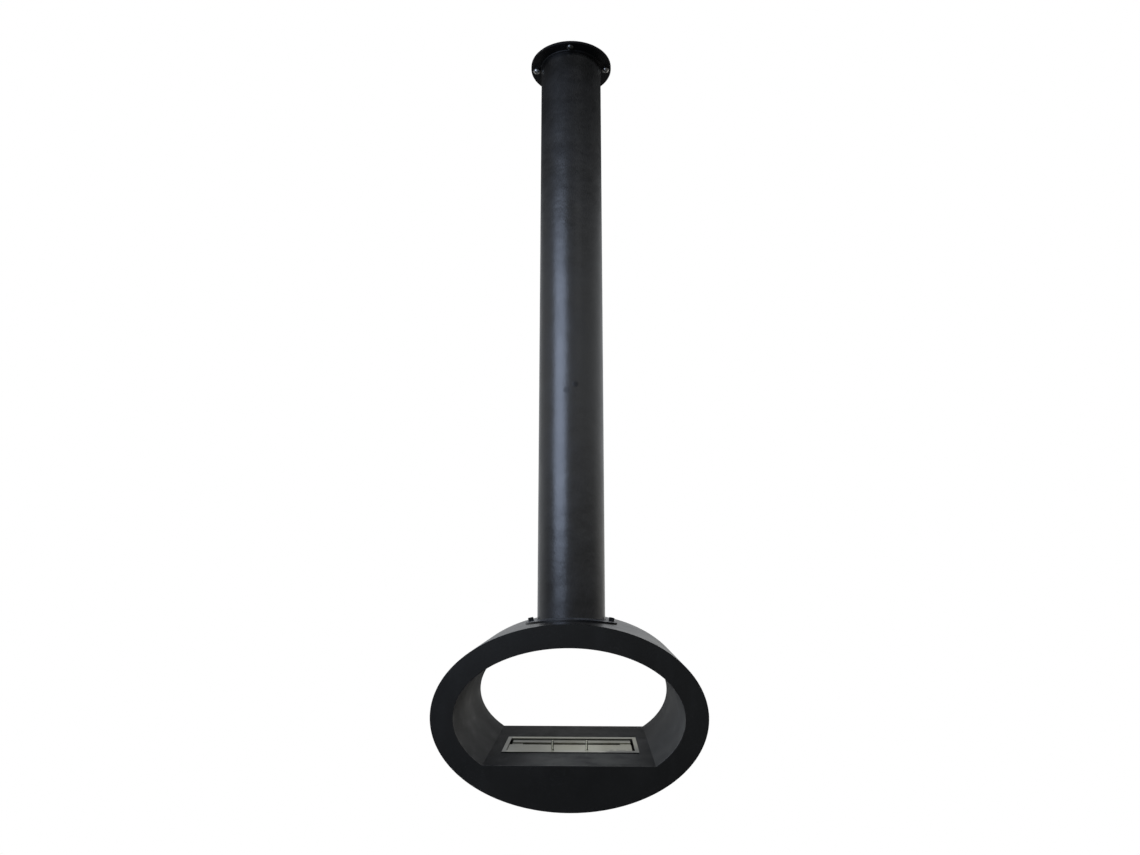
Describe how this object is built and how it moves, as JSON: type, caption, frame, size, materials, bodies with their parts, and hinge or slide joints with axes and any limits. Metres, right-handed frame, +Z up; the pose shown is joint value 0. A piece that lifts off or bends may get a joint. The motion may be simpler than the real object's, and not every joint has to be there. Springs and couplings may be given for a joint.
{
  "type": "hanging fireplace",
  "caption": "Black oval see-through fire drum hung on a round ceiling tube, with a lift-out bio-ethanol burner whose lid slides over its flame slot.",
  "frame": {"origin": "middle of the ceiling flange's top face, on the tube's axis", "axes": "+Z up along the tube; +Y from the front opening to the back opening; +X to the right seen from the front"},
  "size_m": [0.718, 0.5, 2.328],
  "materials": {
    "black_coat": "satin black powder coat on mild steel",
    "tube_coat": "satin black powder coat with a cold sheen",
    "hearth_coat": "matt heat-proof black coat",
    "black_screw": "black oxide screw",
    "bare_steel": "primed mild steel, hidden inside",
    "zinc": "bright zinc plating",
    "stainless": "brushed stainless sheet, slightly warm, with heat stains",
    "ceramic_wool": "matt ceramic fibre block"
  },
  "bodies": {
    "hung_body": {"ceiling_flange": "black_coat", "ceiling_bolts": "zinc", "ceiling_washers": "zinc", "suspension_tube": "tube_coat", "saddle_plate": "black_coat", "saddle_bolts": "black_screw", "backing_plate": "bare_steel", "weld_nuts": "zinc", "outer_skin": "black_coat", "inner_skin": "hearth_coat", "front_plate": "black_coat", "back_plate": "black_coat", "ribs": "bare_steel", "deck_angles": "bare_steel", "hearth_deck": "hearth_coat"},
    "burner": {"burner_frame": "stainless", "burner_tray": "stainless", "fuel_tank": "stainless", "ceramic_wool": "ceramic_wool", "tank_top": "stainless", "stop_strip": "stainless"},
    "lid": {"sliding_lid": "stainless", "lid_pins": "stainless"}
  },
  "joints": [
    {"name": "burner_lift", "type": "slide", "parent": "hung_body", "child": "burner", "axis": [0, 0, 1], "range_m": [0, 0.08]},
    {"name": "lid_slide", "type": "slide", "parent": "burner", "child": "lid", "axis": [0, 1, 0], "range_m": [0, 0.025]}
  ]
}
